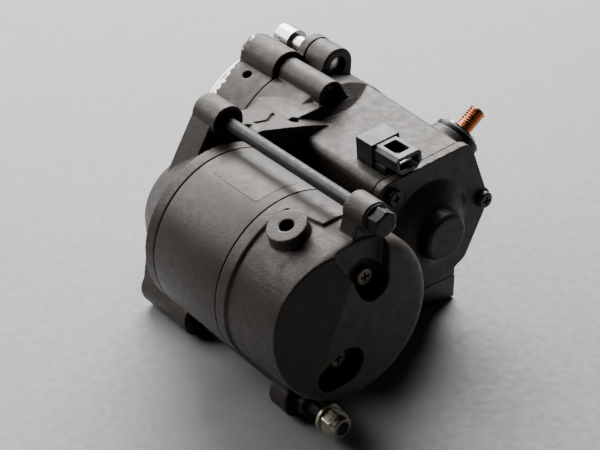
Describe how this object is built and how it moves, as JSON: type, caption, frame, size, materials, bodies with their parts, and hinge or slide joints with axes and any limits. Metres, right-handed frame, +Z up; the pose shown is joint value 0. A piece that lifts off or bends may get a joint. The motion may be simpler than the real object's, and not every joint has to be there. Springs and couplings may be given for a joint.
{
  "type": "starter motor",
  "caption": "Offset gear-reduction starter: motor and in-line solenoid side by side, with gear train, sliding output shaft, pilot mounting face and copper battery stud.",
  "frame": {"origin": "on the drive axis, at the mounting face beside the pilot", "axes": "+X from the mounting face towards the rear along every shaft, +Y away from the motor, +Z up as the starter lies on a bench"},
  "size_m": [0.1875, 0.1599, 0.107],
  "materials": {
    "black_casting": "satin black powder coat on cast aluminium, fine grain",
    "black_steel": "satin black paint on drawn steel",
    "dark_bolt": "dark phosphated steel",
    "zinc_steel": "yellowish zinc plate",
    "bright_steel": "machined steel",
    "bare_aluminium": "machined aluminium",
    "copper": "copper",
    "black_plastic": "moulded thermoset",
    "black_rubber": "matt",
    "winding": "enamelled copper wire",
    "carbon": "pressed carbon",
    "gasket": "fibre gasket",
    "nylon": "natural nylon"
  },
  "bodies": {
    "frame": {"main_housing": "black_casting", "drive_housing": "black_casting", "motor_yoke": "black_steel", "rear_cover": "black_casting", "solenoid_end_cover": "black_steel", "cover_gasket": "gasket", "end_cover_screws": "dark_bolt", "case_screws": "bright_steel", "brush_holder_screws": "zinc_steel", "upper_through_bolt": "dark_bolt", "lower_stud_bolt": "dark_bolt", "stud_washer": "zinc_steel", "stud_nut": "zinc_steel", "ear_bolt": "bright_steel", "pilot_o_ring": "black_rubber", "nose_seal": "black_rubber", "battery_insulator": "black_plastic", "battery_washer": "bright_steel", "battery_stud": "copper", "motor_terminal_insulator": "black_plastic", "motor_terminal_stud": "copper", "motor_terminal_nut": "zinc_steel", "lead_lug": "copper", "motor_lead": "black_rubber", "lead_grommet": "black_rubber", "connector_body": "black_plastic", "spade_terminal": "zinc_steel", "pole_shoes": "bright_steel", "field_coils": "winding", "brush_plate": "zinc_steel", "brushes": "carbon", "brush_springs": "bright_steel", "armature_front_bearing": "bright_steel", "armature_rear_bearing": "bright_steel", "idler_pin": "bright_steel", "drive_front_bearing": "bright_steel", "drive_rear_bearing": "bright_steel", "stator_core": "bright_steel", "coil_bobbin": "nylon", "solenoid_coil": "winding", "fixed_contacts": "copper", "return_spring": "bright_steel"},
    "armature": {"armature_shaft": "bright_steel", "armature_core": "dark_bolt", "armature_winding": "winding", "commutator": "copper"},
    "idler": {"idler_gear": "bright_steel", "idler_rollers": "bright_steel"},
    "clutch": {"clutch_outer": "bright_steel", "clutch_rollers": "bright_steel", "clutch_inner": "bright_steel"},
    "output": {"output_shaft": "bright_steel", "output_pinion": "bright_steel", "pinion_ring": "bright_steel", "thrust_ball": "bright_steel"},
    "plunger": {"plunger": "bright_steel", "plunger_rod": "bright_steel", "contact_plate": "copper"}
  },
  "joints": [
    {"name": "armature_spin", "type": "hinge", "parent": "frame", "child": "armature", "pos_m": [0, -0.072, 0.003], "axis": [1, 0, 0], "continuous": true},
    {"name": "idler_spin", "type": "hinge", "parent": "frame", "child": "idler", "pos_m": [0, -0.04623, -0.00504], "axis": [1, 0, 0], "continuous": true},
    {"name": "clutch_spin", "type": "hinge", "parent": "frame", "child": "clutch", "pos_m": [0, 0, 0], "axis": [1, 0, 0], "continuous": true},
    {"name": "output_slide", "type": "slide", "parent": "clutch", "child": "output", "axis": [-1, 0, 0], "range_m": [0, 0.01]},
    {"name": "plunger_slide", "type": "slide", "parent": "frame", "child": "plunger", "axis": [-1, 0, 0], "range_m": [0, 0.01], "stiffness_N_per_m": 1500, "springref_m": -0.006, "deforming": ["return_spring"]}
  ],
  "couplings": [
    {"joint": "idler_spin", "follows": "armature_spin", "ratio": -0.5},
    {"joint": "clutch_spin", "follows": "armature_spin", "ratio": 0.31579},
    {"joint": "output_slide", "follows": "plunger_slide", "ratio": 1}
  ]
}
